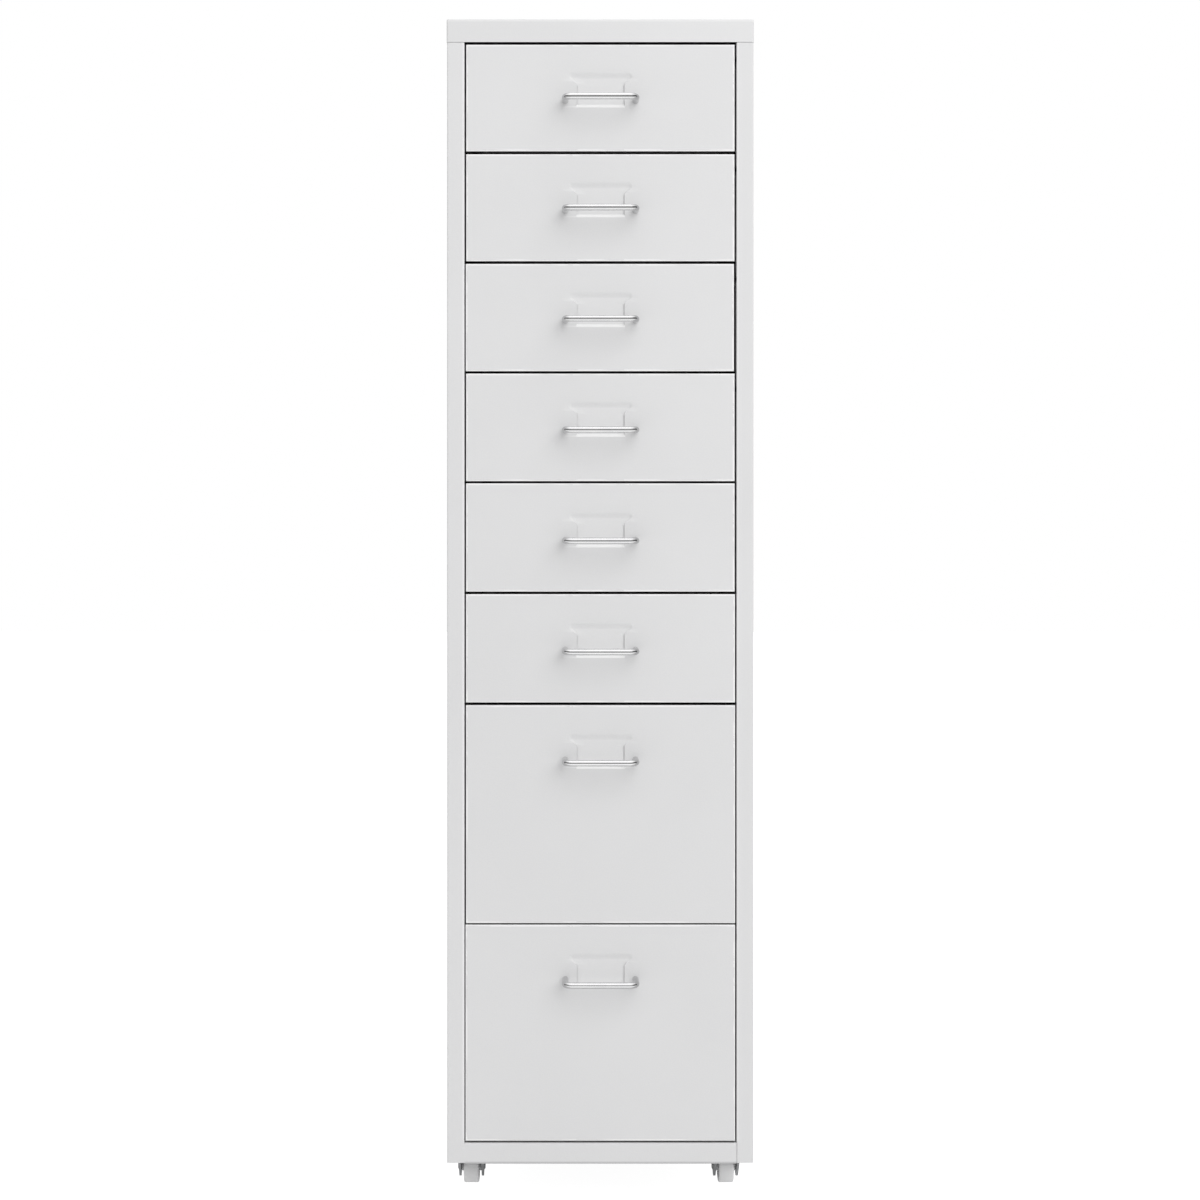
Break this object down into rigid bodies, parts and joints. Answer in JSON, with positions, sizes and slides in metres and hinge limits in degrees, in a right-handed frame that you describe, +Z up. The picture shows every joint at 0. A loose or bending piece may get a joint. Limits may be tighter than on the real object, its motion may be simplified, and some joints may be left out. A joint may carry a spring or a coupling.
{
  "type": "mobile filing cabinet",
  "caption": "Tall narrow sheet-steel filing cabinet on swivel casters, with shallow drawers above deep ones, bent-wire handles and pressed card pockets.",
  "frame": {"origin": "on the floor under the middle of the bounding box", "axes": "+Z up, drawers open towards -Y, +X to the right seen from the front"},
  "size_m": [0.28, 0.41, 1.09],
  "materials": {
    "carcass_paint": "light grey powder coat, fine texture, satin",
    "drawer_paint": "light grey powder coat, fine texture, satin",
    "handle_chrome": "bright nickel-chrome plated wire",
    "zinc_steel": "bright zinc plated steel",
    "polished_steel": "polished steel balls",
    "wheel_plastic": "light grey moulded plastic, satin"
  },
  "bodies": {
    "cabinet": {"side_panel_left": "carcass_paint", "side_panel_right": "carcass_paint", "back_panel": "carcass_paint", "top_cover": "carcass_paint", "bottom_panel": "carcass_paint", "runners_left": "carcass_paint", "runners_right": "carcass_paint", "back_panel_screws": "zinc_steel", "cover_screws": "zinc_steel", "caster_stems": "zinc_steel", "caster_race_caps": "zinc_steel", "caster_balls": "polished_steel", "caster_washers": "zinc_steel", "caster_nuts": "zinc_steel"},
    "drawer_1": {"drawer_1_tray": "drawer_paint", "drawer_1_front": "drawer_paint", "drawer_1_handle": "handle_chrome", "drawer_1_handle_screws": "zinc_steel"},
    "drawer_2": {"drawer_2_tray": "drawer_paint", "drawer_2_front": "drawer_paint", "drawer_2_handle": "handle_chrome", "drawer_2_handle_screws": "zinc_steel"},
    "drawer_3": {"drawer_3_tray": "drawer_paint", "drawer_3_front": "drawer_paint", "drawer_3_handle": "handle_chrome", "drawer_3_handle_screws": "zinc_steel"},
    "drawer_4": {"drawer_4_tray": "drawer_paint", "drawer_4_front": "drawer_paint", "drawer_4_handle": "handle_chrome", "drawer_4_handle_screws": "zinc_steel"},
    "drawer_5": {"drawer_5_tray": "drawer_paint", "drawer_5_front": "drawer_paint", "drawer_5_handle": "handle_chrome", "drawer_5_handle_screws": "zinc_steel"},
    "drawer_6": {"drawer_6_tray": "drawer_paint", "drawer_6_front": "drawer_paint", "drawer_6_handle": "handle_chrome", "drawer_6_handle_screws": "zinc_steel"},
    "drawer_7": {"drawer_7_tray": "drawer_paint", "drawer_7_front": "drawer_paint", "drawer_7_handle": "handle_chrome", "drawer_7_handle_screws": "zinc_steel"},
    "drawer_8": {"drawer_8_tray": "drawer_paint", "drawer_8_front": "drawer_paint", "drawer_8_handle": "handle_chrome", "drawer_8_handle_screws": "zinc_steel"},
    "caster_front_left": {"caster_front_left_fork": "zinc_steel", "caster_front_left_axle": "zinc_steel"},
    "wheel_front_left": {"caster_front_left_wheel": "wheel_plastic"},
    "caster_front_right": {"caster_front_right_fork": "zinc_steel", "caster_front_right_axle": "zinc_steel"},
    "wheel_front_right": {"caster_front_right_wheel": "wheel_plastic"},
    "caster_rear_left": {"caster_rear_left_fork": "zinc_steel", "caster_rear_left_axle": "zinc_steel"},
    "wheel_rear_left": {"caster_rear_left_wheel": "wheel_plastic"},
    "caster_rear_right": {"caster_rear_right_fork": "zinc_steel", "caster_rear_right_axle": "zinc_steel"},
    "wheel_rear_right": {"caster_rear_right_wheel": "wheel_plastic"}
  },
  "joints": [
    {"name": "drawer_1_slide", "type": "slide", "parent": "cabinet", "child": "drawer_1", "axis": [0, -1, 0], "range_m": [0, 0.29]},
    {"name": "drawer_2_slide", "type": "slide", "parent": "cabinet", "child": "drawer_2", "axis": [0, -1, 0], "range_m": [0, 0.29]},
    {"name": "drawer_3_slide", "type": "slide", "parent": "cabinet", "child": "drawer_3", "axis": [0, -1, 0], "range_m": [0, 0.29]},
    {"name": "drawer_4_slide", "type": "slide", "parent": "cabinet", "child": "drawer_4", "axis": [0, -1, 0], "range_m": [0, 0.29]},
    {"name": "drawer_5_slide", "type": "slide", "parent": "cabinet", "child": "drawer_5", "axis": [0, -1, 0], "range_m": [0, 0.29]},
    {"name": "drawer_6_slide", "type": "slide", "parent": "cabinet", "child": "drawer_6", "axis": [0, -1, 0], "range_m": [0, 0.29]},
    {"name": "drawer_7_slide", "type": "slide", "parent": "cabinet", "child": "drawer_7", "axis": [0, -1, 0], "range_m": [0, 0.29]},
    {"name": "drawer_8_slide", "type": "slide", "parent": "cabinet", "child": "drawer_8", "axis": [0, -1, 0], "range_m": [0, 0.29]},
    {"name": "caster_front_left_swivel", "type": "hinge", "parent": "cabinet", "child": "caster_front_left", "pos_m": [-0.1217, -0.102, 0.035], "axis": [0, 0, 1], "continuous": true},
    {"name": "caster_front_right_swivel", "type": "hinge", "parent": "cabinet", "child": "caster_front_right", "pos_m": [0.1217, -0.102, 0.035], "axis": [0, 0, 1], "continuous": true},
    {"name": "caster_rear_left_swivel", "type": "hinge", "parent": "cabinet", "child": "caster_rear_left", "pos_m": [-0.1217, 0.147, 0.035], "axis": [0, 0, 1], "continuous": true},
    {"name": "caster_rear_right_swivel", "type": "hinge", "parent": "cabinet", "child": "caster_rear_right", "pos_m": [0.1217, 0.147, 0.035], "axis": [0, 0, 1], "continuous": true},
    {"name": "caster_front_left_roll", "type": "hinge", "parent": "caster_front_left", "child": "wheel_front_left", "pos_m": [-0.1217, -0.084, 0.016], "axis": [1, 0, 0], "continuous": true},
    {"name": "caster_front_right_roll", "type": "hinge", "parent": "caster_front_right", "child": "wheel_front_right", "pos_m": [0.1217, -0.084, 0.016], "axis": [1, 0, 0], "continuous": true},
    {"name": "caster_rear_left_roll", "type": "hinge", "parent": "caster_rear_left", "child": "wheel_rear_left", "pos_m": [-0.1217, 0.165, 0.016], "axis": [1, 0, 0], "continuous": true},
    {"name": "caster_rear_right_roll", "type": "hinge", "parent": "caster_rear_right", "child": "wheel_rear_right", "pos_m": [0.1217, 0.165, 0.016], "axis": [1, 0, 0], "continuous": true}
  ]
}
